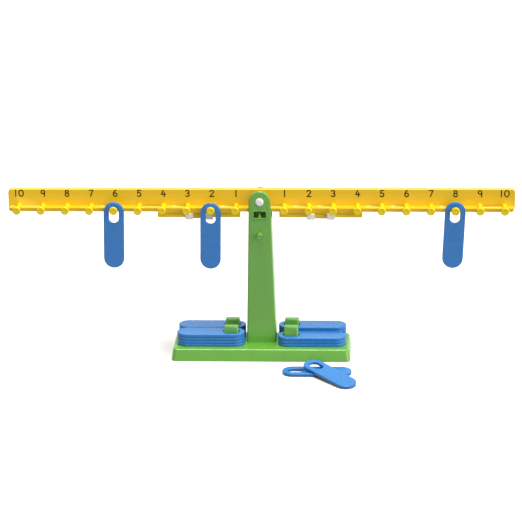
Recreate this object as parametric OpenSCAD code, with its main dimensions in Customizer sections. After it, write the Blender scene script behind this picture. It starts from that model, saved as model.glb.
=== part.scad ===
// Number balance: a beam with ten pegs a side tilts in a forked post, and slotted
// weights hang from its pegs, lie stacked on the base or lie loose in front of it.
// Millimetres. +X runs along the beam to the right, +Y to the back and +Z up.
// The origin is the middle of the base's underside.

/* [Weights] */
// Length of a weight
weight_l = 88.5; // [76:0.5:90]
// Width of a weight
weight_w = 26.4; // [22:0.1:28]
// Thickness of a weight
weight_t = 4.2; // [3:0.1:5]
// Rim left round a weight's slot
weight_rim = 6.9; // [5:0.05:8]
// Length of the slot in a weight
slot_l = 21; // [18:0.5:26]

/* [Beam] */
// Distance between neighbouring pegs
peg_pitch = 31.25; // [30:0.25:34]
// Number of pegs on each side
pegs_per_side = 10; // [8:1:11]
// Length of beam beyond the outermost peg
beam_end = 13.75; // [8:0.25:20]
// Height of the beam from the shelf's underside to the flange's top
beam_h = 26; // [24:0.5:30]
// Thickness of the beam's plate and flange
beam_wall = 3; // [2:0.25:4]
// Depth of the top flange, with the plate
flange_d = 9; // [6:0.5:12]
// Reach of the shelf in front of the plate
shelf_d = 11.6; // [10:0.2:14]
// Thickness of the shelf
shelf_t = 2.5; // [2:0.25:3]
// Height of the lip along the shelf's front
lip_h = 4.9; // [4:0.1:6]
// How far the shelf stops short of the plate's ends
shelf_end = 1.75; // [0.5:0.25:4]
// Radius of the corners at the beam's ends
beam_corner_r = 4; // [1:0.5:6]
// Thickness of the ribs behind the beam
beam_rib_t = 1.6; // [1.2:0.2:3]
// Height of the pivot above the middle of the beam's height
pivot_rise = 1; // [0:0.5:2]
// Diameter of the boss round the pivot
hub_d = 14; // [11:0.5:15]

/* [Beam pegs] */
// Diameter of a peg's stem
stem_d = 5.5; // [4.5:0.1:6]
// Diameter of a peg's head
head_d = 10.6; // [8:0.1:11]
// Thickness of a peg's head
head_t = 3; // [2:0.25:4]
// Bevel round the front of a peg's head
head_bevel = 0.8; // [0.3:0.1:1]
// Height of the stem's top above the shelf
stem_rise = 2.2; // [0.5:0.1:3]
// Diameter of the spigot that fixes a peg in the plate
spigot_d = 4; // [3:0.1:4.2]

/* [Sliders] */
// Distance of a rail's inner end from the pivot
rail_inner = 25; // [24:0.5:30]
// Length of a rail
rail_l = 106.5; // [90:0.5:120]
// Height of a rail below the shelf
rail_h = 7.7; // [6.5:0.1:9]
// Thickness of a rail
rail_t = 3; // [2.6:0.1:4]
// Length of a slider
slider_l = 36; // [30:0.5:44]
// Width of each of a slider's two feet
slider_foot_w = 10; // [7:0.5:12]
// Thickness of a slider's walls
slider_wall = 1.6; // [1.2:0.1:2]
// Depth of the groove in each face of a rail
groove_depth = 0.9; // [0.6:0.05:1]

/* [Post] */
// Height of the pivot above the floor
pivot_h = 206; // [196:1:225]
// Width of the post at the pivot
post_top_w = 28; // [24:0.5:29]
// How far the back cheek's round top lies below the front one's
back_drop = 1.5; // [0:0.5:4]
// Width of the post at its foot
post_foot_w = 38.5; // [36:0.5:44]
// How far the post's front and back lean out between pivot and foot
post_lean = 1.2; // [0:0.1:3]
// Thickness of the post's walls
post_wall = 3; // [2.4:0.1:4]
// Distance of the beam's plate behind the middle of the base
plate_y = 11; // [8:0.5:12]
// Depth of the fork below the pivot
fork_depth = 24; // [22:0.5:28]
// Width of the sight window
window_w = 16; // [12:0.5:18]
// Height of the sight window
window_h = 9; // [7:0.5:10]
// Distance of the window's middle below the pivot
window_drop = 17; // [15.5:0.5:18]
// Width of the rim round the window
window_rim = 1.5; // [0.8:0.1:2]
// Width of the pointer at its foot
pointer_w = 5; // [3:0.25:7]
// Height of the pointer
pointer_h = 7; // [4:0.25:8]
// Distance of the post's peg below the pivot
post_peg_drop = 43.5; // [36:0.5:60]
// Length of the post's peg
post_peg_l = 10; // [6:0.5:14]
// Diameter of the post's peg at its root
post_peg_root_d = 8; // [6:0.25:10]
// Diameter of the post's peg at its tip
post_peg_tip_d = 6.6; // [3:0.1:8]

/* [Pivot pin] */
// Diameter of the pin's shank
pin_d = 6; // [4:0.1:7]
// Diameter of the pin's head and of its cap
pin_head_d = 10.5; // [9:0.25:13]
// Thickness of the pin's head
pin_head_t = 1.6; // [1:0.1:2]
// Length of the cap behind the post
cap_l = 3.6; // [2.5:0.1:5]

/* [Base] */
// Height of the base
base_h = 15; // [13:0.5:20]
// Inward slope of the base's ends from foot to top
base_slope_x = 1.5; // [1:0.5:9]
// Inward slope of the base's front and back from foot to top
base_slope_y = 4; // [2:0.5:8]
// Radius of the base's upright corners
base_corner_r = 6; // [4:0.5:10]
// Rounding of the base's top edge
base_edge_r = 3; // [1:0.25:4]
// Thickness of the base's shell
base_wall = 2.6; // [2:0.1:3.5]
// Thickness of the ribs under the base
base_rib_t = 2; // [1.4:0.2:3]
// Level ground between the stacks and the top's ends
base_end_margin = 4.4; // [0:0.1:8]
// Level ground between the back stacks and the top's back edge
base_back_margin = 1.4; // [0:0.1:8]
// Distance of the gap between the rows behind the middle of the base
row_y = 4.3; // [2:0.1:8]
// Gap between the front and back rows of stacks
row_gap = 1.9; // [1:0.1:8]
// Gap between the post and the stacks
stack_gap = 2.35; // [0.5:0.05:6]
// Number of weights that a storage peg is tall enough for
weights_per_peg = 5; // [5:1:6]
// Height that a storage peg has to spare above those weights
storage_spare = 3.8; // [0.5:0.1:5]
// Rounding of the storage pegs' upright corners
storage_r = 2.4; // [1:0.2:3]
// Rounding of the storage pegs' top edges
storage_edge_r = 2.4; // [0.6:0.2:2.4]

/* [Hung and loose weights] */
// Left peg that carries the outer hung weight
left_outer_peg = 6; // [4:1:6]
// Left peg that carries the inner hung weight
left_inner_peg = 2; // [1:1:2]
// Distance of the outer left hung weight from the shelf
left_outer_out = 3; // [2.8:0.1:3.4]
// Distance of the right hung weight from the shelf
right_out = 0.3; // [0.2:0.1:3.4]
// Swing of the outer left hung weight out of the upright
left_outer_swing = 1.6; // [-3:0.1:3]
// Swing of the inner left hung weight out of the upright
left_inner_swing = 1.4; // [-3:0.1:3]
// Swing of the right hung weight out of the upright
right_swing = 2.6; // [-3:0.1:3]
// Distance of the flat loose weight's slot end to the right of the middle
loose_x = 30; // [24:1:60]
// Gap on the floor between the base and the flat loose weight
loose_gap = 26; // [20:1:60]
// Turn of the leaning weight away from the flat one
leaning_turn = 48; // [40:1:65]
// Distance of the leaning weight's slot along the flat weight
leaning_along = 43; // [38:1:48]
// Distance of the leaning weight's slot behind the flat weight's middle
leaning_back = 2.5; // [1:0.5:10]

/* [Clearances] */
// Room between the shelf and the fork's front wall
fork_front_gap = 1.4; // [0.8:0.1:3]
// Room between the flange and the fork's back wall
fork_back_gap = 0.6; // [0.4:0.1:2]
// Room at each end of the pivot boss
hub_gap = 0.4; // [0.2:0.1:0.8]
// Radial room round the pin
pin_gap = 0.05; // [0.02:0.01:0.1]
// Radial room round a peg in the beam
peg_gap = 0.05; // [0.02:0.01:0.1]
// Room between a slider and its rail
slider_gap = 0.3; // [0.2:0.05:0.5]
// Room between a swinging weight and the post
swing_gap = 0.3; // [0.2:0.05:1]
// Room between a hung weight and the head in front of it
head_gap = 0.3; // [0.2:0.05:1]
// Room between a hung weight and the stem that carries it
hang_gap = 0.15; // [0.05:0.05:0.3]
// Room round the post's foot in the base
socket_gap = 0.15; // [0.05:0.05:0.3]
// Room between a storage peg and the ends of a slot
storage_gap_x = 1.2; // [0.5:0.1:3]
// Room between a storage peg and the sides of a slot
storage_gap_y = 1.25; // [0.5:0.05:2]
// Least room between a storage peg's corners and a slot's round ends
storage_gap = 0.3; // [0.15:0.05:0.5]
// Height that the leaning weight keeps above what carries it
lean_gap = 0.03; // [0.01:0.01:0.1]

/* [Hidden] */
$fn = 64;
hull_fn = 32;
cut = 1;
fuse = 0.4;

// Weight
slot_w = weight_w - 2 * weight_rim;

// Beam
beam_l = 2 * (pegs_per_side * peg_pitch + beam_end);
shelf_l = beam_l - 2 * shelf_end;
beam_bottom = pivot_h - beam_h / 2 - pivot_rise;
beam_top = beam_bottom + beam_h;
shelf_y = plate_y - shelf_d;
shelf_top = beam_bottom + lip_h;
lip_t = 2.5;
flange_y = plate_y + flange_d;
stem_z = shelf_top + stem_rise - stem_d / 2;

// Fork and post
fork_front = shelf_y - fork_front_gap;
fork_back = flange_y + fork_back_gap;
post_front = fork_front - post_wall;
post_back = fork_back + post_wall;
post_foot_front = post_front - post_lean;
post_foot_back = post_back + post_lean;
post_y = (post_front + post_back) / 2;
fork_floor = pivot_h - fork_depth;
window_z = pivot_h - window_drop;
window_rim_t = 0.5;
window_corner_r = 1;
pointer_t = 1.8;
pointer_recess = 0.4;
tenon_inset = 1.5;
tenon_l = 6.5;
tongue_w = 8;
tongue_slit = 1;
hook_reach = 1;
hook_l = 3;
hook_gap = 0.1;

// The inner hung weight swings between the post's face and the peg heads
hung_back = post_foot_front - swing_gap;
hung_front = hung_back - weight_t;
head_back = hung_front - head_gap;
head_front = head_back - head_t;
hung_top = stem_z + stem_d / 2 + hang_gap + weight_rim;
left_outer_front = shelf_y - left_outer_out - weight_t;
right_front = shelf_y - right_out - weight_t;
right_peg = left_outer_peg + left_inner_peg;

// Pivot pin
pin_seat = post_face(pivot_h - pin_head_d / 2);
cap_seat = 2 * post_y - pin_seat;
cap_end_t = 1.2;
shank_end = cap_seat + cap_l - cap_end_t;
press_gap = 0.02;
pin_bevel = 0.5;

// Base
foot_band = 0.5;
row_inner = post_foot_w / 2 + stack_gap;
base_top_w = 2 * (row_inner + weight_l + base_end_margin);
base_top_d = 2 * (row_y + row_gap / 2 + weight_w + base_back_margin);
base_w = base_top_w + 2 * base_slope_x;
base_d = base_top_d + 2 * base_slope_y;
row_step = (row_gap + weight_w) / 2;
storage_l = slot_l - 2 * storage_gap_x;
storage_d = slot_w - 2 * storage_gap_y;
storage_h = weights_per_peg * weight_t + storage_spare;
storage_wall = 2.2;
slot_middle = weight_rim + slot_l / 2;
storage_x = row_inner + slot_middle;
rib_room = 2;

// Sliders
slider_x = rail_inner + rail_l / 2;
rail_bottom = beam_bottom - rail_h;
rail_back = shelf_y + rail_t;
groove_stop = 2;
groove_h = 2.4;
groove_rise = 2.6;
groove_z = rail_bottom + groove_rise;
slider_floor = 2.2;
slider_bottom = rail_bottom - slider_gap - slider_floor;
slider_rise = 0.1;
slider_top = groove_z + groove_h + slider_rise;
hook_step = groove_depth - slider_gap / 2;

// Loose weights
loose_y = -base_d / 2 - loose_gap - weight_w / 2;
leaning_x = loose_x + leaning_along;
leaning_y = loose_y + leaning_back;
lean_edge = loose_y - weight_w / 2;
lean_far = leaning_y - (weight_l - weight_w / 2 - slot_middle) * sin(leaning_turn) - weight_w / 2;
lean_angle = asin(weight_t / (lean_edge - lean_far));

// Stacks: name, side, row and number of weights
STACKS = [
    ["left_front", -1, -1, 4],
    ["left_back", -1, 1, 4],
    ["right_front", 1, -1, 3],
    ["right_back", 1, 1, 4],
];

GREEN = "#5fa23f";
YELLOW = "#f0bd2a";
BLUE = "#3f78c0";
WHITE = "#f3efe8";

// Shapes that repeat

// Flat outline with round ends, from x = 0 to l
module stadium(l, w) {
    translate([w / 2, 0]) circle(d = w);
    translate([l - w / 2, 0]) circle(d = w);
    translate([w / 2, -w / 2]) square([l - w, w]);
}

// Rectangle with round corners, its middle at the origin
module round_rect(w, h, r) {
    square([w - 2 * r, h], center = true);
    square([w, h - 2 * r], center = true);
    for (x = [-1, 1], y = [-1, 1]) translate([x * (w / 2 - r), y * (h / 2 - r)]) circle(r);
}

// Upright outline in X and Z, made solid from y0 to y1
module through_y(y0, y1) {
    translate([0, y1, 0]) rotate([90, 0, 0]) linear_extrude(y1 - y0) children();
}

// Upright outline in Y and Z, made solid from x0 to x1
module through_x(x0, x1) {
    translate([x0, 0, 0]) rotate([90, 0, 90]) linear_extrude(x1 - x0) children();
}

// Round bar along +Y
module bar_y(y0, y1, d, d_end = undef) {
    translate([0, y0, 0]) rotate([-90, 0, 0]) cylinder(h = y1 - y0, d1 = d, d2 = is_undef(d_end) ? d : d_end);
}

// Weight lying flat, its slot end at x = 0
module weight() {
    color(BLUE) linear_extrude(weight_t) difference() {
        stadium(weight_l, weight_w);
        translate([weight_rim, 0]) stadium(slot_l, slot_w);
    }
}

// Base

// Block with sloping sides and round corners, standing on z = 0
module sloped_block(w, d, h, r, edge) {
    hull() {
        for (x = [-1, 1], y = [-1, 1]) {
            translate([x * (w / 2 - r), y * (d / 2 - r), 0]) cylinder(h = foot_band, r = r, $fn = hull_fn);
            translate([x * (w / 2 - base_slope_x - r), y * (d / 2 - base_slope_y - r), h - edge])
                rotate_extrude($fn = hull_fn) translate([r - edge, 0]) circle(edge, $fn = hull_fn);
        }
    }
}

// Hollows under the base, with a rib along its middle and ribs beside the storage pegs
module base_cells() {
    inner = storage_x - storage_l / 2 - rib_room;
    outer = storage_x + storage_l / 2 + rib_room;
    end = base_top_w / 2 - base_wall + base_rib_t / 2;
    ribs = [-end, -(outer + end) / 2, -outer, -inner, inner, outer, (outer + end) / 2, end];
    cell_d = base_top_d / 2 - base_wall - base_rib_t / 2;
    for (i = [1 : len(ribs) - 1], y = [-base_rib_t / 2 - cell_d, base_rib_t / 2])
        translate([ribs[i - 1] + base_rib_t / 2, y, -cut])
            cube([ribs[i] - ribs[i - 1] - base_rib_t, cell_d, base_h - base_wall + cut]);
}

// Foot of the post, widened on every side by grow
module foot_block(z0, z1, grow) {
    w = post_foot_w - 2 * tenon_inset + 2 * grow;
    d = post_foot_back - post_foot_front - 2 * tenon_inset + 2 * grow;
    translate([-w / 2, post_y - d / 2, z0]) cube([w, d, z1 - z0]);
}

// Upright outline of a storage peg with its two top corners rounded
module storage_outline(w) {
    top = base_h + storage_h;
    translate([-w / 2, base_h - fuse]) square([w, storage_h + fuse - storage_edge_r]);
    translate([-w / 2 + storage_edge_r, base_h]) square([w - 2 * storage_edge_r, storage_h]);
    for (s = [-1, 1]) translate([s * (w / 2 - storage_edge_r), top - storage_edge_r]) circle(storage_edge_r);
}

module storage_peg() {
    intersection() {
        translate([0, 0, base_h - fuse])
            linear_extrude(storage_h + fuse) intersection() {
                round_rect(storage_l, storage_d, storage_r);
                translate([storage_gap - slot_l / 2, 0])
                    stadium(slot_l - 2 * storage_gap, slot_w - 2 * storage_gap);
            }
        through_y(-storage_d, storage_d) storage_outline(storage_l);
        through_x(-storage_l, storage_l) storage_outline(storage_d);
    }
}

module storage_core() {
    w = storage_l - 2 * storage_wall;
    d = storage_d - 2 * storage_wall;
    translate([-w / 2, -d / 2, -cut]) cube([w, d, base_h + storage_h - storage_wall + cut]);
}

module each_storage_place() {
    for (s = [-1, 1], r = [-1, 1]) translate([s * storage_x, row_y + r * row_step, 0]) children();
}

module base() {
    color(GREEN) difference() {
        union() {
            sloped_block(base_w, base_d, base_h, base_corner_r, base_edge_r);
            each_storage_place() storage_peg();
        }
        base_cells();
        each_storage_place() storage_core();
        foot_block(base_h - base_wall - cut, base_h + cut, socket_gap);
        foot_block(base_h - tenon_l - hook_gap - fuse, base_h - base_wall, rib_room);
    }
}

// Post

// Half width of the post at a height
function post_half(z) =
    post_top_w / 2 + (post_foot_w - post_top_w) / 2 * (pivot_h - z) / (pivot_h - base_h);

// Front face of the post at a height
function post_face(z) = post_front - post_lean * (pivot_h - z) / (pivot_h - base_h);

// Front outline from z0 to z1, drawn in by a wall
module post_outline(z0, z1, wall) {
    polygon([
        [-post_half(z0) + wall, z0], [post_half(z0) - wall, z0],
        [post_half(z1) - wall, z1], [-post_half(z1) + wall, z1],
    ]);
}

// Side outline from z0 to z1, drawn in by a wall
module post_side(z0, z1, wall) {
    polygon([
        [post_face(z0) + wall, z0], [2 * post_y - post_face(z0) - wall, z0],
        [2 * post_y - post_face(z1) - wall, z1], [post_face(z1) + wall, z1],
    ]);
}

module post_body() {
    intersection() {
        through_y(post_foot_front, post_foot_back) {
            post_outline(base_h, pivot_h, 0);
            translate([0, pivot_h]) circle(d = post_top_w);
        }
        through_x(-post_foot_w / 2, post_foot_w / 2) {
            post_side(base_h, pivot_h, 0);
            translate([post_front, pivot_h]) square([post_back - post_front, post_top_w / 2]);
        }
    }
}

module post_core() {
    z0 = base_h - tenon_l - cut;
    z1 = fork_floor - post_wall;
    intersection() {
        through_y(post_foot_front, post_foot_back) post_outline(z0, z1, post_wall);
        through_x(-post_foot_w / 2, post_foot_w / 2) post_side(z0, z1, post_wall);
    }
}

// Pair of snap hooks on the foot's two sides
module foot_hooks() {
    x = post_foot_w / 2 - tenon_inset;
    z = base_h - base_wall - hook_gap;
    for (s = [0, 1]) mirror([s, 0, 0]) through_y(post_y - tongue_w / 2, post_y + tongue_w / 2)
        polygon([[x - fuse, z], [x + socket_gap + hook_reach, z], [x, z - hook_l], [x - fuse, z - hook_l]]);
}

// Slits that let the snap tongues bend
module tongue_slits() {
    for (s = [-1, 1])
        translate([-post_foot_w, post_y + s * (tongue_w + tongue_slit) / 2 - tongue_slit / 2, 0])
            cube([2 * post_foot_w, tongue_slit, base_h - hook_gap]);
}

module window_cut() {
    through_y(post_front - cut, fork_front + fuse)
        translate([0, window_z]) round_rect(window_w, window_h, window_corner_r);
}

module window_frame() {
    through_y(post_front - window_rim_t, post_front + fuse)
        translate([0, window_z])
            round_rect(window_w + 2 * window_rim, window_h + 2 * window_rim, window_corner_r + window_rim);
}

module pointer() {
    z = window_z - window_h / 2;
    through_y(post_front + pointer_recess, post_front + pointer_recess + pointer_t)
        polygon([[-pointer_w / 2, z - fuse], [pointer_w / 2, z - fuse], [pointer_w / 2, z],
                 [0, z + pointer_h], [-pointer_w / 2, z]]);
}

module post_peg() {
    z = pivot_h - post_peg_drop;
    translate([0, 0, z])
        bar_y(post_face(z) - post_peg_l, post_face(z) + fuse, post_peg_tip_d, post_peg_root_d);
}

// Room above the round top of the back cheek
module back_top_cut() {
    z = pivot_h - back_drop;
    through_y(fork_back - fuse, post_back + cut) difference() {
        translate([-post_top_w, z]) square([2 * post_top_w, post_top_w]);
        translate([0, z]) circle(post_half(z));
    }
}

module post() {
    color(GREEN) {
        difference() {
            union() {
                post_body();
                window_frame();
                difference() {
                    union() {
                        foot_block(base_h - tenon_l, base_h + fuse, 0);
                        foot_hooks();
                    }
                    tongue_slits();
                }
                post_peg();
            }
            post_core();
            translate([-post_foot_w, fork_front, fork_floor])
                cube([2 * post_foot_w, fork_back - fork_front, pivot_h]);
            back_top_cut();
            window_cut();
            translate([0, 0, pivot_h]) bar_y(post_front - cut, post_back + cut, pin_d + 2 * pin_gap);
        }
        pointer();
    }
}

// Pivot

module pivot_pin() {
    color(WHITE) translate([0, 0, pivot_h]) {
        bar_y(pin_seat - pin_head_t, pin_seat - pin_head_t + pin_bevel,
              pin_head_d - 2 * pin_bevel, pin_head_d);
        bar_y(pin_seat - pin_head_t + pin_bevel, pin_seat, pin_head_d);
        bar_y(pin_seat - pin_bevel, shank_end, pin_d);
    }
}

module pivot_cap() {
    color(WHITE) translate([0, 0, pivot_h]) difference() {
        union() {
            bar_y(cap_seat, cap_seat + cap_l - pin_bevel, pin_head_d);
            bar_y(cap_seat + cap_l - pin_bevel, cap_seat + cap_l, pin_head_d, pin_head_d - 2 * pin_bevel);
        }
        bar_y(cap_seat - cut, shank_end + press_gap, pin_d + 2 * press_gap);
    }
}

// Beam

module plate_section() {
    translate([plate_y, beam_bottom]) square([beam_wall, beam_h]);
    translate([plate_y, beam_top - beam_wall]) square([flange_d, beam_wall]);
}

module shelf_section() {
    translate([shelf_y, shelf_top - shelf_t]) square([shelf_d + beam_wall, shelf_t]);
    translate([shelf_y, beam_bottom]) square([lip_t, lip_h]);
}

// Every peg's place along the beam
PEG_X = [for (s = [-1, 1]) for (n = [1 : pegs_per_side]) s * n * peg_pitch];

module beam_ribs() {
    ends = [-(beam_l - beam_rib_t) / 2, (beam_l - beam_rib_t) / 2];
    for (x = concat(PEG_X, ends))
        translate([x - beam_rib_t / 2, plate_y + beam_wall - fuse, beam_bottom])
            cube([beam_rib_t, flange_d - beam_wall + fuse, beam_h - fuse]);
}

// Room that a length of beam with round corners takes up
module beam_room(l) {
    through_y(shelf_y - cut, flange_y + cut)
        translate([0, beam_bottom + beam_h / 2]) round_rect(l, beam_h, beam_corner_r);
}

module rail(side) {
    x0 = side > 0 ? rail_inner : -rail_inner - rail_l;
    difference() {
        translate([x0, shelf_y, rail_bottom]) cube([rail_l, rail_t, rail_h + lip_h - fuse]);
        for (y = [shelf_y - cut, rail_back - groove_depth])
            translate([x0 + groove_stop, y, groove_z])
                cube([rail_l - 2 * groove_stop, groove_depth + cut, groove_h]);
    }
}

module beam() {
    color(YELLOW) difference() {
        union() {
            intersection() {
                union() {
                    through_x(-beam_l / 2, beam_l / 2) plate_section();
                    beam_ribs();
                }
                beam_room(beam_l);
            }
            intersection() {
                through_x(-shelf_l / 2, shelf_l / 2) shelf_section();
                beam_room(shelf_l);
            }
            for (s = [-1, 1]) rail(s);
            translate([0, 0, pivot_h]) bar_y(fork_front + hub_gap, fork_back - hub_gap, hub_d);
        }
        translate([0, 0, pivot_h]) bar_y(fork_front, fork_back, pin_d + 2 * pin_gap);
        for (x = PEG_X) translate([x, 0, stem_z]) {
            bar_y(shelf_y - cut, plate_y, stem_d + 2 * peg_gap);
            bar_y(plate_y - cut, flange_y + cut, spigot_d + 2 * peg_gap);
        }
    }
}

module beam_peg() {
    bar_y(head_front, head_front + head_bevel, head_d - 2 * head_bevel, head_d);
    bar_y(head_front + head_bevel, head_back, head_d);
    bar_y(head_back - head_bevel, plate_y, stem_d);
    bar_y(plate_y - fuse, plate_y + beam_wall, spigot_d);
}

module beam_pegs() {
    color(YELLOW) for (x = PEG_X) translate([x, 0, stem_z]) beam_peg();
}

// Slider: a back wall with two feet that hook round the rail's lower edge
module slider(side) {
    front = shelf_y - slider_gap - slider_wall;
    back = rail_back + slider_gap;
    wall_h = slider_top - slider_bottom;
    hook_z = groove_z + slider_gap;
    hook_h = groove_h - 2 * slider_gap;
    color(WHITE) translate([side * slider_x - slider_l / 2, 0, 0]) {
        translate([0, back, slider_bottom]) cube([slider_l, slider_wall, wall_h]);
        translate([0, back - hook_step, hook_z]) cube([slider_l, hook_step + fuse, hook_h]);
        for (x = [0, slider_l - slider_foot_w]) translate([x, 0, 0]) {
            translate([0, front, slider_bottom])
                cube([slider_foot_w, back - front + fuse, slider_floor]);
            translate([0, front, slider_bottom]) cube([slider_foot_w, slider_wall, wall_h]);
            translate([0, front + slider_wall - fuse, hook_z])
                cube([slider_foot_w, hook_step + fuse, hook_h]);
        }
    }
}

// Weights in their places

// Hangs on a stem, with its lower end swung to the left
module hung_weight(x, front, swing) {
    translate([x, front, stem_z]) rotate([0, swing, 0]) translate([0, 0, hung_top - stem_z])
        rotate([0, 90, 90]) weight();
}

module stacked_weight(stack, k) {
    translate([stack[1] * row_inner, row_y + stack[2] * row_step, base_h + (k - 1) * weight_t])
        rotate([0, 0, stack[1] > 0 ? 0 : 180]) weight();
}

module loose_weight_flat() {
    translate([loose_x, loose_y, 0]) weight();
}

// Leans on the flat weight's front edge, with its far end on the floor
module loose_weight_leaning() {
    translate([0, lean_edge, weight_t + lean_gap]) rotate([lean_angle, 0, 0]) translate([0, -lean_edge, 0])
        translate([leaning_x, leaning_y, 0]) rotate([0, 0, -leaning_turn]) translate([-slot_middle, 0, 0])
            weight();
}

base();
post();
pivot_pin();
pivot_cap();
beam();
beam_pegs();
slider(-1);  // slider_left
slider(1);  // slider_right
hung_weight(-left_outer_peg * peg_pitch, left_outer_front, left_outer_swing);  // hung_weight_left_outer
hung_weight(-left_inner_peg * peg_pitch, hung_front, left_inner_swing);  // hung_weight_left_inner
hung_weight(right_peg * peg_pitch, right_front, right_swing);  // hung_weight_right
for (s = STACKS)
    for (k = [1 : s[3]])
        stacked_weight(s, k);
loose_weight_flat();
loose_weight_leaning();
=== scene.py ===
"""Looks of a number balance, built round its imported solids.

Helpers take millimetres, and every mesh is written in metres in the part's own frame.
"""

import math

import bmesh
import bpy
from mathutils import Matrix, Vector


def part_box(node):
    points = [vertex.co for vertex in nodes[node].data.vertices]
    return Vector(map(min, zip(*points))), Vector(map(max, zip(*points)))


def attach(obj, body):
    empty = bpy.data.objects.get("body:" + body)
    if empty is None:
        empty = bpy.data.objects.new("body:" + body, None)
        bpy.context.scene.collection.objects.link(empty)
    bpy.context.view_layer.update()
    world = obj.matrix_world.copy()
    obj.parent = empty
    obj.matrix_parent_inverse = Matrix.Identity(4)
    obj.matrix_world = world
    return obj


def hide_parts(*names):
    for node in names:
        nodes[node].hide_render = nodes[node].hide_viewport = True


MM = 0.001

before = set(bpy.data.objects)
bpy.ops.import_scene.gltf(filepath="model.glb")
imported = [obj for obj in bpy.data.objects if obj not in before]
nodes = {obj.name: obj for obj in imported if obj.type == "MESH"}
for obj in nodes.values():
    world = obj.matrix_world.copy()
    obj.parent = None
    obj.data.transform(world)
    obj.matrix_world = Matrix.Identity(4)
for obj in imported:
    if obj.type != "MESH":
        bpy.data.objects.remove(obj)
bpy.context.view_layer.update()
scene = bpy.context.scene
scene.view_settings.view_transform = "Standard"

# Weights; sizes here and below are in millimetres unless a name or a comment says otherwise
WEIGHT_L, WEIGHT_W, WEIGHT_T = 88.5, 26.4, 4.2
WEIGHT_RIM, SLOT_L = 6.9, 21.0
WEIGHT_EDGE_R = 1.1
SLOT_W = WEIGHT_W - 2 * WEIGHT_RIM
SLOT_MIDDLE = WEIGHT_RIM + SLOT_L / 2

# Beam and its pegs, which point to -Y; peg numbers are negative on the left
PEG_PITCH, PEGS_PER_SIDE = 31.25, 10
PEG_NUMBERS = [side * n for side in (-1, 1) for n in range(1, PEGS_PER_SIDE + 1)]
PLATE_Y = 11.0
STEM_Z, STEM_D = 196.35, 5.5
HEAD_D, HEAD_FRONT, HEAD_BACK = 10.6, -14.0, -11.0
HEAD_EDGE_R, HEAD_BACK_R, NECK_R = 1.5, 0.6, 0.5
HEAD_DISH, DISH_EDGE = 0.3, 1.0
SPIGOT_D, SPIGOT_L, SPIGOT_SINK = 4.0, 3.0, 0.02
# Flare at a peg's root: added to the stem's radius, and distance from the plate
ROOT_FLARE = ((0.0, 1.0), (0.25, 0.4), (0.8, 0.05))
BEAM_EDGE_R, SLIDER_EDGE_R = 0.5, 0.25
# Shorter edges than these are left sharp
BEAM_EDGE_L, SLIDER_EDGE_L = 8.0, 1.2

# Numerals; the digits' widths and the gap between them are shares of the height
NUMERAL_H, NUMERAL_Z, STROKE_W = 9.2, 213.0, 1.5
INK_PROUD, INK_SUNK, STROKE_LIFT = 0.06, 0.1, 0.01
DIGIT_WIDTH, USUAL_WIDTH, DIGIT_GAP = {"0": 0.68, "1": 0.0}, 0.56, 0.42
# Shift to the right by the count of digits, as printed
NUMERAL_SHIFT = {1: 0.3, 2: 1.2}

# Post, sight window and the post's own peg
BASE_H, PIVOT_Z = 15.0, 206.0
POST_FRONT, POST_BACK = -5.0, 23.6
CHEEK_EDGE_R = 2.2
CHEEK_INNER_X, CHEEK_FOOT_Z, CHEEK_TOP_Z = 11.0, BASE_H + 1, PIVOT_Z + 6
WINDOW_W, WINDOW_H, WINDOW_RIM, WINDOW_Z = 16.0, 9.0, 1.5, 189.0
BEAD_CORNER_R, BEAD_HALF_W, BEAD_HALF_T, BEAD_PROUD = 1.75, 0.95, 0.6, 0.25
MARK_HALF_W, MARK_TAPER, MARK_GAP = 0.45, 0.5, 0.3
# How far the mark goes on past half round at each side, as a share of half a turn
MARK_OVER = 0.1
POST_PEG_TIP_Y, POST_PEG_Z = -15.27, 162.5
# Rim of the post's peg: radius, and distance behind the tip
POST_PEG_RIM = ((0, -0.1), (2.05, -0.12), (2.4, -0.5), (2.75, -0.62), (3.1, -0.5),
                (3.35, -0.1), (3.41, 0.6), (2.35, 1.0), (0, 1.0))

# Pin through the post, and the cap behind it
SEAT_GAP = 0.033
PIN_SEAT, CAP_SEAT = POST_FRONT - SEAT_GAP, POST_BACK + SEAT_GAP
PIN_HEAD_R, PIN_R, PIN_END, BORE_ROOM = 5.25, 3.0, 2.4, 0.02
# Domes: radius, and distance outside the seat
PIN_DOME = ((0, 1.75), (1.4, 1.78), (2.2, 1.9), (3.2, 1.86), (4.35, 1.62), (4.95, 1.2),
            (PIN_HEAD_R, 0.7), (PIN_HEAD_R, 0))
CAP_DOME = ((0, 3.75), (2.4, 3.7), (4.25, 3.45), (4.95, 2.95), (PIN_HEAD_R, 2.4),
            (PIN_HEAD_R, 0.3), (5.0, 0))

# Hung weights: name, peg number, and swing out of the upright in degrees
HUNG = (("hung_weight_left_outer", -6, 1.6),
        ("hung_weight_left_inner", -2, 1.4),
        ("hung_weight_right", 8, 2.6))
HANG_GAP = 0.15
HUNG_RISE = STEM_D / 2 + HANG_GAP + WEIGHT_RIM
# Stacks: name, side and number of weights
STACKS = (("left_front", -1, 4), ("left_back", -1, 4), ("right_front", 1, 3), ("right_back", 1, 4))
# The leaning loose weight: turn in degrees, its slot's place on the flat one, and the gap between them
LEAN_TURN, LEAN_ALONG, LEAN_BACK, LEAN_GAP = 48.0, 43.0, 2.5, 0.03

# Camera fitted to the photograph, with angles in degrees
CAM_YAW, CAM_PITCH, CAM_ROLL = 3.453, 18.797, 0.947
CAM_AIM = Vector((0.51, 0.0, 125.03))
CAM_DISTANCE = 2789.81
CAM_FOCUS_PX, FRAME_PX, SENSOR = 2157.96, 522, 36.0
CAM_CLIP_METRES = 500

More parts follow.
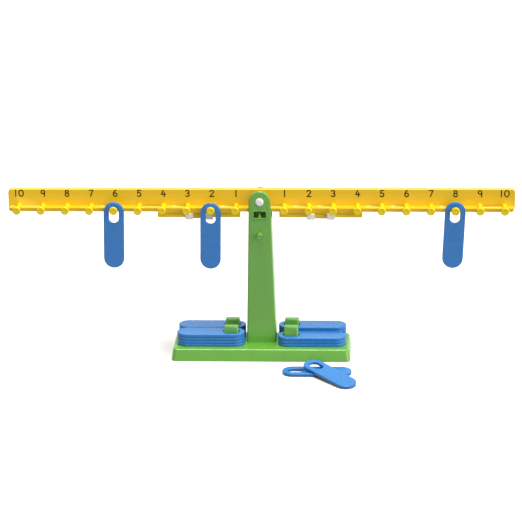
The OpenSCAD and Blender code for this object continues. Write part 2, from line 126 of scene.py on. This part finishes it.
# Lamps: name, direction towards it, colour, strength and spread in degrees
LAMPS = (("overhead", (0.03, -0.05, 1.0), (1.0, 0.95, 0.86), 2.6, 24),
         ("right", (0.8, -0.4, 0.45), (1.0, 1.0, 1.0), 2.2, 60))
# The sky is brightest overhead, and pale walls stand behind and in front of the object
SKY_OVERHEAD, WALL_BEHIND, WALL_IN_FRONT = 0.4, 0.75, 0.65
# The floor is white to the eye, and throws little light up at the object
FLOOR_DULL, FLOOR_BRIGHT, FLOOR_BOUNCE, FLOOR_ROUGHNESS = 0.9, 0.93, 0.1, 0.9
FLOOR_RADIUS_METRES, FLOOR_DROP, FLOOR_SIDES = 120, 0.2, 64

# Noise in materials: features per metre and detail
CLOUDS, PATCHES, GRAIN = (14, 3.0), (70, 4.0), (1500, 2.0)
STREAKS, SCUFFS, INK_COVER, FLOOR_CLOUDS = (26, 5.0), (30, 6.0), (900, 4.0), (3, 2.0)
STREAK_STRETCH, SCUFF_STRETCH = (1, 22, 22), (20, 1, 20)
# Noise values between which a layer fades in
CLOUD_FADE, PATCH_FADE, SATIN_FADE = (0.35, 0.65), (0.45, 0.75), (0.3, 0.7)
STREAK_FADE, SCUFF_FADE, INK_FADE = (0.66, 0.74), (0.66, 0.76), (0.4, 0.7)
# Bumps: strength, and depth in millimetres
WAVE_BUMP, STREAK_BUMP, GRAIN_BUMP, INK_BUMP = (0.1, 0.6), (0.2, 0.05), (0.05, 0.08), (0.15, 0.05)
# How far the colour strays in clouds and in patches, how dense patches are and how white scuffs are
CLOUD_SPREAD, PATCH_SPREAD, PATCH_SHARE, SCUFF_WHITE = 0.03, 0.045, 0.35, 0.12
# What patches take off and add to a plastic's roughness, and what streaks add
SMOOTHER, ROUGHER, STREAK_ROUGHER = 0.03, 0.05, 0.12
INK_ROUGHNESS, INK_GLOSS, INK_WEAR = (0.4, 0.6), 0.1, 0.012

# Limits for meshes: angles in radians, lengths in millimetres
SMOOTH_UNDER, SHARP_OVER, COPLANAR_UNDER = (math.radians(a) for a in (40, 35, 0.6))
MERGE_UNDER, SLIVER_UNDER, TOUCH_UNDER, SAME_POINT = 0.002, 0.0005, 0.01, 1e-6
FACING_OVER, MITRE_LIMIT = 0.95, 0.5


# Materials

def add_node(tree, kind, inputs=None, **settings):
    """Adds a node, sets its properties, and links or sets each input."""
    made = tree.nodes.new(kind)
    for key, value in settings.items():
        setattr(made, key, value)
    for key, value in (inputs or {}).items():
        if isinstance(value, bpy.types.NodeSocket):
            tree.links.new(value, made.inputs[key])
        else:
            made.inputs[key].default_value = value
    return made


def noise(tree, coords, scale, detail, stretch=None):
    """Noise value over the given coordinates, in features per metre."""
    if stretch:
        coords = add_node(tree, "ShaderNodeMapping", {"Vector": coords, "Scale": stretch}).outputs["Vector"]
    made = add_node(tree, "ShaderNodeTexNoise", {"Vector": coords, "Scale": scale, "Detail": detail})
    return made.outputs["Fac"]


def ranged(tree, value, low, high, to_low, to_high):
    """The value, moved from one range to another and kept within it."""
    made = add_node(tree, "ShaderNodeMapRange", {
        "Value": value, "From Min": low, "From Max": high, "To Min": to_low, "To Max": to_high})
    return made.outputs["Result"]


def combined(tree, a, b, operation="ADD"):
    return add_node(tree, "ShaderNodeMath", {0: a, 1: b}, operation=operation).outputs[0]


def blended(tree, share, a, b):
    """Colour between a and b; the mix node has a socket of each name for every type of data."""
    made = add_node(tree, "ShaderNodeMix", data_type="RGBA")
    for key, value in (("Factor", share), ("A", a), ("B", b)):
        socket = next(s for s in made.inputs if s.name == key and s.enabled)
        if isinstance(value, bpy.types.NodeSocket):
            tree.links.new(value, socket)
        else:
            socket.default_value = value
    return next(s for s in made.outputs if s.enabled)


def bump(tree, height, strength, depth, normal=None):
    """The surface's normal with a bump on it, on top of another normal if one is given."""
    inputs = {"Height": height, "Strength": strength, "Distance": depth * MM}
    if normal is not None:
        inputs["Normal"] = normal
    return add_node(tree, "ShaderNodeBump", inputs).outputs["Normal"]


def seen_rays(tree):
    """One for rays that see a surface or the sky, directly or mirrored, else nought."""
    path = add_node(tree, "ShaderNodeLightPath").outputs
    seen = combined(tree, path["Is Camera Ray"], path["Is Glossy Ray"])
    return combined(tree, seen, path["Is Transmission Ray"])


def rgba(colour, gain=1.0):
    return tuple(min(1.0, c * gain) for c in colour) + (1.0,)


def grey(value):
    return (value, value, value, 1.0)


def new_material(name):
    """A material, its node tree and shader, and the object's own coordinates."""
    mat = bpy.data.materials.new(name)
    mat.use_nodes = True
    tree = mat.node_tree
    coords = add_node(tree, "ShaderNodeTexCoord").outputs["Object"]
    return mat, tree, tree.nodes["Principled BSDF"], coords


def plastic(name, colour, roughness, gloss, flow=(1, 1, 1), rubs=0.2):
    """Moulded plastic: cloudy colour, a satin grain, flow marks and faint rub marks."""
    mat, tree, shader, coords = new_material(name)
    cloud = noise(tree, coords, *CLOUDS, flow)
    patch = noise(tree, coords, *PATCHES, flow)
    grain = noise(tree, coords, *GRAIN)
    streak = noise(tree, coords, *STREAKS, STREAK_STRETCH)
    scuff = noise(tree, coords, *SCUFFS, SCUFF_STRETCH)

    dark, light = rgba(colour, 1 - CLOUD_SPREAD), rgba(colour, 1 + CLOUD_SPREAD)
    darkest = rgba(colour, 1 - PATCH_SPREAD)
    pale = rgba([c + SCUFF_WHITE * (1 - c) for c in colour])
    shade = blended(tree, ranged(tree, cloud, *CLOUD_FADE, 0, 1), dark, light)
    shade = blended(tree, ranged(tree, patch, *PATCH_FADE, 0, PATCH_SHARE), shade, darkest)
    shade = blended(tree, ranged(tree, scuff, *SCUFF_FADE, 0, rubs / 2), shade, pale)
    tree.links.new(shade, shader.inputs["Base Color"])

    marks = ranged(tree, streak, *STREAK_FADE, 0, rubs)
    satin = ranged(tree, patch, *SATIN_FADE, roughness - SMOOTHER, roughness + ROUGHER)
    rubbed = ranged(tree, marks, 0, 1, 0, STREAK_ROUGHER)
    tree.links.new(combined(tree, satin, rubbed), shader.inputs["Roughness"])

    wavy = bump(tree, cloud, *WAVE_BUMP)
    scratched = bump(tree, marks, *STREAK_BUMP, wavy)
    tree.links.new(bump(tree, grain, *GRAIN_BUMP, scratched), shader.inputs["Normal"])
    shader.inputs["Specular IOR Level"].default_value = gloss
    return mat


def ink(name, colour):
    """Printed ink: a little uneven in colour, gloss and thickness."""
    mat, tree, shader, coords = new_material(name)
    cover = noise(tree, coords, *INK_COVER)
    worn = rgba([c + INK_WEAR for c in colour])
    shade = blended(tree, ranged(tree, cover, *INK_FADE, 0, 1), rgba(colour), worn)
    tree.links.new(shade, shader.inputs["Base Color"])
    tree.links.new(ranged(tree, cover, *SATIN_FADE, *INK_ROUGHNESS), shader.inputs["Roughness"])
    tree.links.new(bump(tree, cover, *INK_BUMP), shader.inputs["Normal"])
    shader.inputs["Specular IOR Level"].default_value = INK_GLOSS
    return mat


YELLOW = plastic("yellow_moulded", (0.84, 0.55, 0.014), roughness=0.32, gloss=0.42, flow=(0.4, 2, 2))
# The beam's yellow, made lighter for the pegs: a painted highlight that stands in for the extra light the
# heads catch where they stand proud of the plate
PAINTED_LIT_YELLOW = plastic("yellow_painted_lit", (0.92, 0.66, 0.004), roughness=0.3, gloss=0.4)
GREEN = plastic("green_moulded", (0.13, 0.395, 0.042), roughness=0.24, gloss=0.6, flow=(2, 2, 0.5),
                rubs=0.1)
BLUE = plastic("blue_moulded", (0.018, 0.198, 0.58), roughness=0.26, gloss=0.5, rubs=0.3)
WHITE = plastic("white_moulded", (0.96, 0.94, 0.92), roughness=0.32, gloss=0.5)
INK = ink("numeral_ink", (0.008, 0.005, 0.003))


# Meshes

def add_piece(name, bm, material, body, replaces=()):
    """Turns a mesh in millimetres into a piece that rides on a body."""
    bmesh.ops.recalc_face_normals(bm, faces=bm.faces)
    bmesh.ops.scale(bm, vec=(MM, MM, MM), verts=bm.verts)
    mesh = bpy.data.meshes.new(name)
    bm.to_mesh(mesh)
    bm.free()
    for poly in mesh.polygons:
        poly.use_smooth = True
    mesh.set_sharp_from_angle(angle=SMOOTH_UNDER)
    mesh.materials.append(material)
    piece = bpy.data.objects.new(name, mesh)
    scene.collection.objects.link(piece)
    weighted = piece.modifiers.new("flat_faces", "WEIGHTED_NORMAL")
    weighted.keep_sharp = True
    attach(piece, body)
    if replaces:
        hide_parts(*replaces)


def from_solid(node, radius=0, steps=0, wanted=None):
    """A node's solid in millimetres, with its sharp edges that are wanted rounded."""
    bm = bmesh.new()
    bm.from_mesh(nodes[node].data)
    bmesh.ops.scale(bm, vec=(1 / MM,) * 3, verts=bm.verts)
    bmesh.ops.remove_doubles(bm, verts=bm.verts, dist=MERGE_UNDER)
    bmesh.ops.dissolve_limit(bm, angle_limit=COPLANAR_UNDER, verts=bm.verts, edges=bm.edges)
    if wanted:
        sharp = [e for e in bm.edges if len(e.link_faces) == 2 and e.calc_face_angle(0) > SHARP_OVER]
        bmesh.ops.bevel(bm, geom=[e for e in sharp if wanted(e)], offset=radius, offset_type="OFFSET",
                        segments=steps, profile=0.5, affect="EDGES", clamp_overlap=False)
    bmesh.ops.dissolve_degenerate(bm, dist=SLIVER_UNDER, edges=bm.edges)
    return bm


def outward_edge(shortest):
    return lambda e: e.is_convex and e.calc_length() > shortest


def join_rings(bm, rings):
    """Faces between closed rings of vertices of one count, or a ring and a single vertex."""
    for low, high in zip(rings, rings[1:]):
        count = max(len(low), len(high))
        for i in range(count):
            j = (i + 1) % count
            corners = (low[i % len(low)], low[j % len(low)], high[j % len(high)], high[i % len(high)])
            bm.faces.new(list(dict.fromkeys(corners)))


def full_turn(steps):
    return [2 * math.pi * i / steps for i in range(steps)]


def quarter_round(r, steps):
    """Inset and height of each point of a rounded edge, from its flat side to its upright one."""
    turn = [math.radians(90 * i / steps) for i in range(steps + 1)]
    return [(r * (1 - math.sin(a)), r * (1 - math.cos(a))) for a in turn]


def lathe(bm, profile, x, z, steps=40):
    """Turned shape on an axis along Y; profile runs from one pole to the other as radius and y."""
    rings = []
    for radius, y in profile:
        turn = full_turn(steps) if radius else [0]
        rings.append([bm.verts.new((x + radius * math.cos(a), y, z + radius * math.sin(a))) for a in turn])
    join_rings(bm, rings)


# Weights

def moved(x, y, z):
    return Matrix.Translation((x, y, z))


def turned(degrees, axis):
    return Matrix.Rotation(math.radians(degrees), 4, axis)


def box_mm(node):
    """Lowest and highest corner of a node's solid, in millimetres."""
    return [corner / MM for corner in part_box(node)]


def stadium(x0, length, radius, steps=20):
    """Flat outline with round ends whose middles stay put as the radius changes."""
    points = []
    for middle, start in ((x0, 90), (x0 + length, 270)):
        for i in range(steps + 1):
            a = math.radians(start + 180 * i / steps)
            points.append((middle + radius * math.cos(a), radius * math.sin(a)))
    return points


def weight_mesh():
    """A weight that lies flat along X, with the end that has the slot at nought."""
    bm = bmesh.new()
    low = quarter_round(WEIGHT_EDGE_R, steps=4)
    outer, inner = [], []
    for inset, z in low + [(inset, WEIGHT_T - z) for inset, z in reversed(low)]:
        edge = stadium(WEIGHT_W / 2, WEIGHT_L - WEIGHT_W, WEIGHT_W / 2 - inset)
        hole = stadium(WEIGHT_RIM + SLOT_W / 2, SLOT_L - SLOT_W, SLOT_W / 2 + inset)
        outer.append([bm.verts.new((x, y, z)) for x, y in edge])
        inner.append([bm.verts.new((x, y, z)) for x, y in hole])
    join_rings(bm, outer)
    join_rings(bm, inner)
    for face in (0, -1):
        join_rings(bm, [outer[face], inner[face]])
    return bm


def add_weight(name, place):
    bm = weight_mesh()
    bm.transform(place)
    add_piece(name + "_shape", bm, BLUE, name, (name,))


def add_hung_weights():
    upright = turned(90, "Z") @ turned(90, "Y")
    for name, peg, swing in HUNG:
        front = box_mm(name)[0].y
        stem = moved(peg * PEG_PITCH, front, STEM_Z)
        add_weight(name, stem @ turned(swing, "Y") @ moved(0, 0, HUNG_RISE) @ upright)


def add_stacked_weights():
    for stack, side, count in STACKS:
        turn = turned(0 if side > 0 else 180, "Z")
        for k in range(1, count + 1):
            name = f"{stack}_weight_{k}"
            low, high = box_mm(name)
            slot_end = low.x if side > 0 else high.x
            add_weight(name, moved(slot_end, (low.y + high.y) / 2, low.z) @ turn)


def add_loose_weights():
    """One weight flat on the table, and one that rests on its edge and on the table."""
    low, high = box_mm("loose_weight_flat")
    flat_x, flat_y = low.x, (low.y + high.y) / 2
    add_weight("loose_weight_flat", moved(flat_x, flat_y, 0))
    lean_y = flat_y + LEAN_BACK
    reach = WEIGHT_L - WEIGHT_W / 2 - SLOT_MIDDLE
    far_y = lean_y - reach * math.sin(math.radians(LEAN_TURN)) - WEIGHT_W / 2
    tilt = math.degrees(math.asin(WEIGHT_T / (low.y - far_y)))
    in_plan = moved(flat_x + LEAN_ALONG, lean_y, 0) @ turned(-LEAN_TURN, "Z") @ moved(-SLOT_MIDDLE, 0, 0)
    on_edge = moved(0, low.y, WEIGHT_T + LEAN_GAP) @ turned(tilt, "X") @ moved(0, -low.y, 0)
    add_weight("loose_weight_leaning", on_edge @ in_plan)


# Numerals

def arc(cx, cy, rx, ry, start, end, steps=14):
    turn = [math.radians(start + (end - start) * i / steps) for i in range(steps + 1)]
    return [(cx + rx * math.cos(a), cy + ry * math.sin(a)) for a in turn]


def digit_strokes(digit):
    """Pen strokes of a numeral in a box one unit high, as an early-years alphabet draws it."""
    return {
        "0": [arc(0.34, 0.5, 0.31, 0.46, 90, 450, 32)],
        "1": [[(0.0, 0.04), (0.0, 0.96)]],
        "2": [arc(0.27, 0.7, 0.25, 0.25, 170, -20) + [(0.04, 0.05), (0.56, 0.05)]],
        "3": [arc(0.25, 0.73, 0.23, 0.22, 155, -90), arc(0.24, 0.28, 0.27, 0.23, 90, -150)],
        "4": [[(0.27, 0.96), (0.03, 0.36), (0.58, 0.36)], [(0.4, 0.6), (0.4, 0.04)]],
        "5": [[(0.5, 0.95), (0.1, 0.95), (0.07, 0.53)] + arc(0.24, 0.32, 0.28, 0.27, 115, -145)],
        "6": [arc(0.5, 0.3, 0.46, 0.66, 100, 180), arc(0.29, 0.3, 0.25, 0.25, 180, 540, 28)],
        "7": [[(0.03, 0.95), (0.54, 0.95), (0.2, 0.04)]],
        "8": [arc(0.28, 0.73, 0.2, 0.21, 270, 630, 28), arc(0.28, 0.28, 0.25, 0.24, 90, 450, 28)],
        "9": [arc(0.27, 0.69, 0.24, 0.26, 0, 360, 28), [(0.51, 0.69), (0.49, 0.04)]],
    }[digit]


def stroke_sides(path, closed, width):
    """Points to the left and to the right of each point of a path, mitred at its corners."""
    left, right = [], []
    count = len(path)
    for i, p in enumerate(path):
        before = path[i - 1] if closed or i > 0 else p
        after = path[(i + 1) % count] if closed or i < count - 1 else p
        turns = [d.normalized() for d in (p - before, after - p) if d.length > SAME_POINT]
        along = sum(turns, Vector((0, 0))).normalized()
        side = Vector((-along.y, along.x))
        mitre = side.dot(Vector((-turns[0].y, turns[0].x)))
        reach = width / 2 / max(MITRE_LIMIT, mitre)
        left.append(p + side * reach)
        right.append(p - side * reach)
    return left, right


def round_cap(end, direction, width, steps=6):
    """Points of a half circle round a path's end, from its left side to its right."""
    start = math.atan2(direction.y, direction.x) + math.pi / 2
    turn = [start - math.pi * k / steps for k in range(1, steps)]
    return [end + Vector((math.cos(a), math.sin(a))) * width / 2 for a in turn]


def add_stroke(bm, points, width, front, back):
    """Flat ribbon along a pen stroke in X and Z, with round ends unless it is closed."""
    path = [Vector(p) for p in points]
    closed = (path[0] - path[-1]).length < SAME_POINT
    if closed:
        path.pop()
    left, right = stroke_sides(path, closed, width)
    if closed:
        loops = [left, right]
    else:
        last_cap = round_cap(path[-1], path[-1] - path[-2], width)
        first_cap = round_cap(path[0], path[0] - path[1], width)
        loops = [left + last_cap + right[::-1] + first_cap]
    walls = []
    for loop in loops:
        rings = [[bm.verts.new((p.x, y, p.y)) for p in loop] for y in (front, back)]
        join_rings(bm, rings)
        walls.append(rings)
    for face in (0, 1):
        if closed:
            join_rings(bm, [walls[0][face], walls[1][face]])
        else:
            bm.faces.new(walls[0][face])


def add_numerals():
    """The printed number above each peg; a later stroke lies a little over an earlier one."""
    bm = bmesh.new()
    gap = DIGIT_GAP * NUMERAL_H
    for peg in PEG_NUMBERS:
        digits = str(abs(peg))
        widths = [DIGIT_WIDTH.get(d, USUAL_WIDTH) * NUMERAL_H for d in digits]
        length = sum(widths) + gap * (len(digits) - 1)
        x = peg * PEG_PITCH + NUMERAL_SHIFT[len(digits)] - length / 2
        for digit, width in zip(digits, widths):
            for k, stroke in enumerate(digit_strokes(digit)):
                points = [(x + u * NUMERAL_H, NUMERAL_Z + (v - 0.5) * NUMERAL_H) for u, v in stroke]
                front = PLATE_Y - INK_PROUD - STROKE_LIFT * k
                add_stroke(bm, points, STROKE_W, front, PLATE_Y + INK_SUNK)
            x += width + gap
    add_piece("numerals", bm, INK, "beam")


# Beam

def peg_profile():
    """Radius and y along a peg: dished head, rounded edges, stem, flared root and spigot."""
    head, stem, spigot = HEAD_D / 2, STEM_D / 2, SPIGOT_D / 2
    dish = [(0, HEAD_FRONT + HEAD_DISH), (head - HEAD_EDGE_R - DISH_EDGE, HEAD_FRONT + HEAD_DISH / 2)]
    front_edge = [(head - inset, HEAD_FRONT + y) for inset, y in quarter_round(HEAD_EDGE_R, steps=8)]
    back_edge = [(head, HEAD_BACK - HEAD_BACK_R),
                 (head - HEAD_BACK_R / 3, HEAD_BACK - HEAD_BACK_R / 4),
                 (head - HEAD_BACK_R, HEAD_BACK)]
    neck = [(stem + out * NECK_R, HEAD_BACK + y * NECK_R) for out, y in ((1, 0), (0.3, 0.3), (0, 1))]
    root = [(stem + out, PLATE_Y - y) for out, y in ROOT_FLARE]
    spigot_end = PLATE_Y + SPIGOT_L
    inside = [(spigot, PLATE_Y + SPIGOT_SINK), (spigot, spigot_end), (0, spigot_end)]
    return dish + front_edge + back_edge + neck + root + inside


def add_pegs():
    bm = bmesh.new()
    for peg in PEG_NUMBERS:
        lathe(bm, peg_profile(), peg * PEG_PITCH, STEM_Z)
    # The pegs take the lightened yellow, whose extra brightness is painted light
    add_piece("beam_pegs_shape", bm, PAINTED_LIT_YELLOW, "beam", ("beam_pegs",))


def add_beam():
    beam = from_solid("beam", BEAM_EDGE_R, steps=3, wanted=outward_edge(BEAM_EDGE_L))
    add_piece("beam_shape", beam, YELLOW, "beam", ("beam",))
    add_pegs()
    add_numerals()
    for side in ("slider_left", "slider_right"):
        slider = from_solid(side, SLIDER_EDGE_R, steps=2, wanted=outward_edge(SLIDER_EDGE_L))
        add_piece(side + "_shape", slider, WHITE, side, (side,))


# Stand

def cheek_outline(edge):
    """The outer edges of the post's front and back faces."""
    middle = (edge.verts[0].co + edge.verts[1].co) / 2
    facing = max(abs(f.normal.y) for f in edge.link_faces) > FACING_OVER
    on_face = middle.y < POST_FRONT + TOUCH_UNDER or middle.y > POST_BACK - TOUCH_UNDER
    above_base = middle.z > CHEEK_FOOT_Z
    outermost = abs(middle.x) > CHEEK_INNER_X or middle.z > CHEEK_TOP_Z
    return facing and on_face and above_base and outermost


def rounded_loop(width, height, r, steps=6):
    """Points of a rectangle with round corners, with the direction out of it at each."""
    loop = []
    for k, (sx, sz) in enumerate(((1, 1), (-1, 1), (-1, -1), (1, -1))):
        for i in range(steps + 1):
            a = math.radians(90 * k + 90 * i / steps)
            out = Vector((math.cos(a), math.sin(a)))
            loop.append((Vector((sx * (width / 2 - r), sz * (height / 2 - r))) + out * r, out))
    return loop


def add_bead(bm):
    """Rounded bead round the sight window."""
    rings = []
    for p, out in rounded_loop(WINDOW_W + WINDOW_RIM, WINDOW_H + WINDOW_RIM, BEAD_CORNER_R):
        ring = []
        for a in full_turn(steps=12):
            side = p + out * BEAD_HALF_W * math.cos(a)
            y = POST_FRONT - BEAD_PROUD - BEAD_HALF_T * math.sin(a)
            ring.append(bm.verts.new((side.x, y, WINDOW_Z + side.y)))
        rings.append(ring)
    join_rings(bm, rings + rings[:1])


def add_mark(bm, steps=8):
    """Short upright mark between the window and the pin, a little more than half round."""
    foot = WINDOW_Z + WINDOW_H / 2 + WINDOW_RIM
    top = PIVOT_Z - PIN_HEAD_R - MARK_GAP
    turn = [math.pi * ((1 + 2 * MARK_OVER) * i / steps - MARK_OVER) for i in range(steps + 1)]
    profile = ((0, foot), (MARK_HALF_W, foot + MARK_TAPER), (MARK_HALF_W, top - MARK_TAPER), (0, top))
    rings = []
    for half, z in profile:
        ends = turn if half else [0]
        rings.append([bm.verts.new((half * math.cos(a), POST_FRONT - half * math.sin(a), z)) for a in ends])
    join_rings(bm, rings)


def add_window_rim():
    bm = bmesh.new()
    add_bead(bm)
    add_mark(bm)
    add_piece("window_rim", bm, GREEN, "stand")


def add_post_peg_tip():
    """Rounded rim round the dished tip of the post's peg."""
    bm = bmesh.new()
    lathe(bm, [(radius, POST_PEG_TIP_Y + y) for radius, y in POST_PEG_RIM], 0, POST_PEG_Z)
    add_piece("post_peg_tip", bm, GREEN, "stand")


def add_stand():
    add_piece("base_shape", from_solid("base"), GREEN, "stand", ("base",))
    post = from_solid("post", CHEEK_EDGE_R, steps=5, wanted=cheek_outline)
    add_piece("post_shape", post, GREEN, "stand", ("post",))
    add_window_rim()
    add_post_peg_tip()


def add_pin():
    end = CAP_SEAT + PIN_END
    shaft = [(PIN_R, PIN_SEAT), (PIN_R, end), (0, end)]
    bm = bmesh.new()
    lathe(bm, [(radius, PIN_SEAT - y) for radius, y in PIN_DOME] + shaft, 0, PIVOT_Z)
    add_piece("pivot_pin_shape", bm, WHITE, "stand", ("pivot_pin",))


def add_cap():
    bore = [(PIN_R + BORE_ROOM, 0), (PIN_R + BORE_ROOM, PIN_END + BORE_ROOM), (0, PIN_END + BORE_ROOM)]
    bm = bmesh.new()
    lathe(bm, [(radius, CAP_SEAT + y) for radius, y in list(CAP_DOME) + bore], 0, PIVOT_Z)
    add_piece("pivot_cap_shape", bm, WHITE, "stand", ("pivot_cap",))


# Stage

def add_floor():
    mat, tree, shader, coords = new_material("floor_white")
    clouds = noise(tree, coords, *FLOOR_CLOUDS)
    bright = blended(tree, clouds, grey(FLOOR_DULL), grey(FLOOR_BRIGHT))
    seen = blended(tree, seen_rays(tree), grey(FLOOR_BOUNCE), bright)
    tree.links.new(seen, shader.inputs["Base Color"])
    shader.inputs["Roughness"].default_value = FLOOR_ROUGHNESS
    shader.inputs["Specular IOR Level"].default_value = 0.0
    bm = bmesh.new()
    bmesh.ops.create_circle(bm, cap_ends=True, segments=FLOOR_SIDES, radius=FLOOR_RADIUS_METRES)
    mesh = bpy.data.meshes.new("floor")
    bm.to_mesh(mesh)
    bm.free()
    mesh.materials.append(mat)
    floor = bpy.data.objects.new("floor", mesh)
    floor.location.z = -FLOOR_DROP * MM
    scene.collection.objects.link(floor)


def add_sky():
    """Light from overhead and from the walls; rays that see the sky find it white."""
    world = bpy.data.worlds.new("studio")
    world.use_nodes = True
    tree = world.node_tree
    back = tree.nodes["Background"]
    back.inputs["Color"].default_value = grey(1)
    towards = add_node(tree, "ShaderNodeTexCoord").outputs["Generated"]
    split = add_node(tree, "ShaderNodeSeparateXYZ", {"Vector": towards}).outputs
    height_squared = combined(tree, split["Z"], split["Z"], "MULTIPLY")
    overhead = ranged(tree, height_squared, 0, 1, 0, SKY_OVERHEAD)
    behind = ranged(tree, split["Y"], 0, 1, 0, WALL_BEHIND)
    in_front = ranged(tree, split["Y"], 0, -1, 0, WALL_IN_FRONT)
    light = combined(tree, overhead, combined(tree, behind, in_front))
    tree.links.new(ranged(tree, seen_rays(tree), 0, 1, light, 1.0), back.inputs["Strength"])
    scene.world = world


def add_lamp(name, towards, colour, strength, spread):
    data = bpy.data.lights.new(name, "SUN")
    data.color = colour
    data.energy = strength
    data.angle = math.radians(spread)
    lamp = bpy.data.objects.new(name, data)
    lamp.rotation_mode = "QUATERNION"
    lamp.rotation_quaternion = Vector(towards).to_track_quat("Z", "Y")
    scene.collection.objects.link(lamp)


def add_camera():
    yaw, pitch, roll = (math.radians(a) for a in (CAM_YAW, CAM_PITCH, CAM_ROLL))
    ahead = Vector((-math.sin(yaw) * math.cos(pitch), math.cos(yaw) * math.cos(pitch), -math.sin(pitch)))
    level = Vector((math.cos(yaw), math.sin(yaw), 0))
    down = ahead.cross(level)
    right = math.cos(roll) * level + math.sin(roll) * down
    up = math.sin(roll) * level - math.cos(roll) * down
    data = bpy.data.cameras.new("camera")
    data.sensor_width = SENSOR
    data.lens = CAM_FOCUS_PX / FRAME_PX * SENSOR
    data.clip_end = CAM_CLIP_METRES
    camera = bpy.data.objects.new("camera", data)
    place = Matrix((right, up, -ahead)).transposed().to_4x4()
    place.translation = (CAM_AIM - ahead * CAM_DISTANCE) * MM
    camera.matrix_world = place
    scene.collection.objects.link(camera)
    scene.camera = camera


add_stand()
add_pin()
add_cap()
add_beam()
add_hung_weights()
add_stacked_weights()
add_loose_weights()
add_floor()
add_sky()
for lamp in LAMPS:
    add_lamp(*lamp)
add_camera()
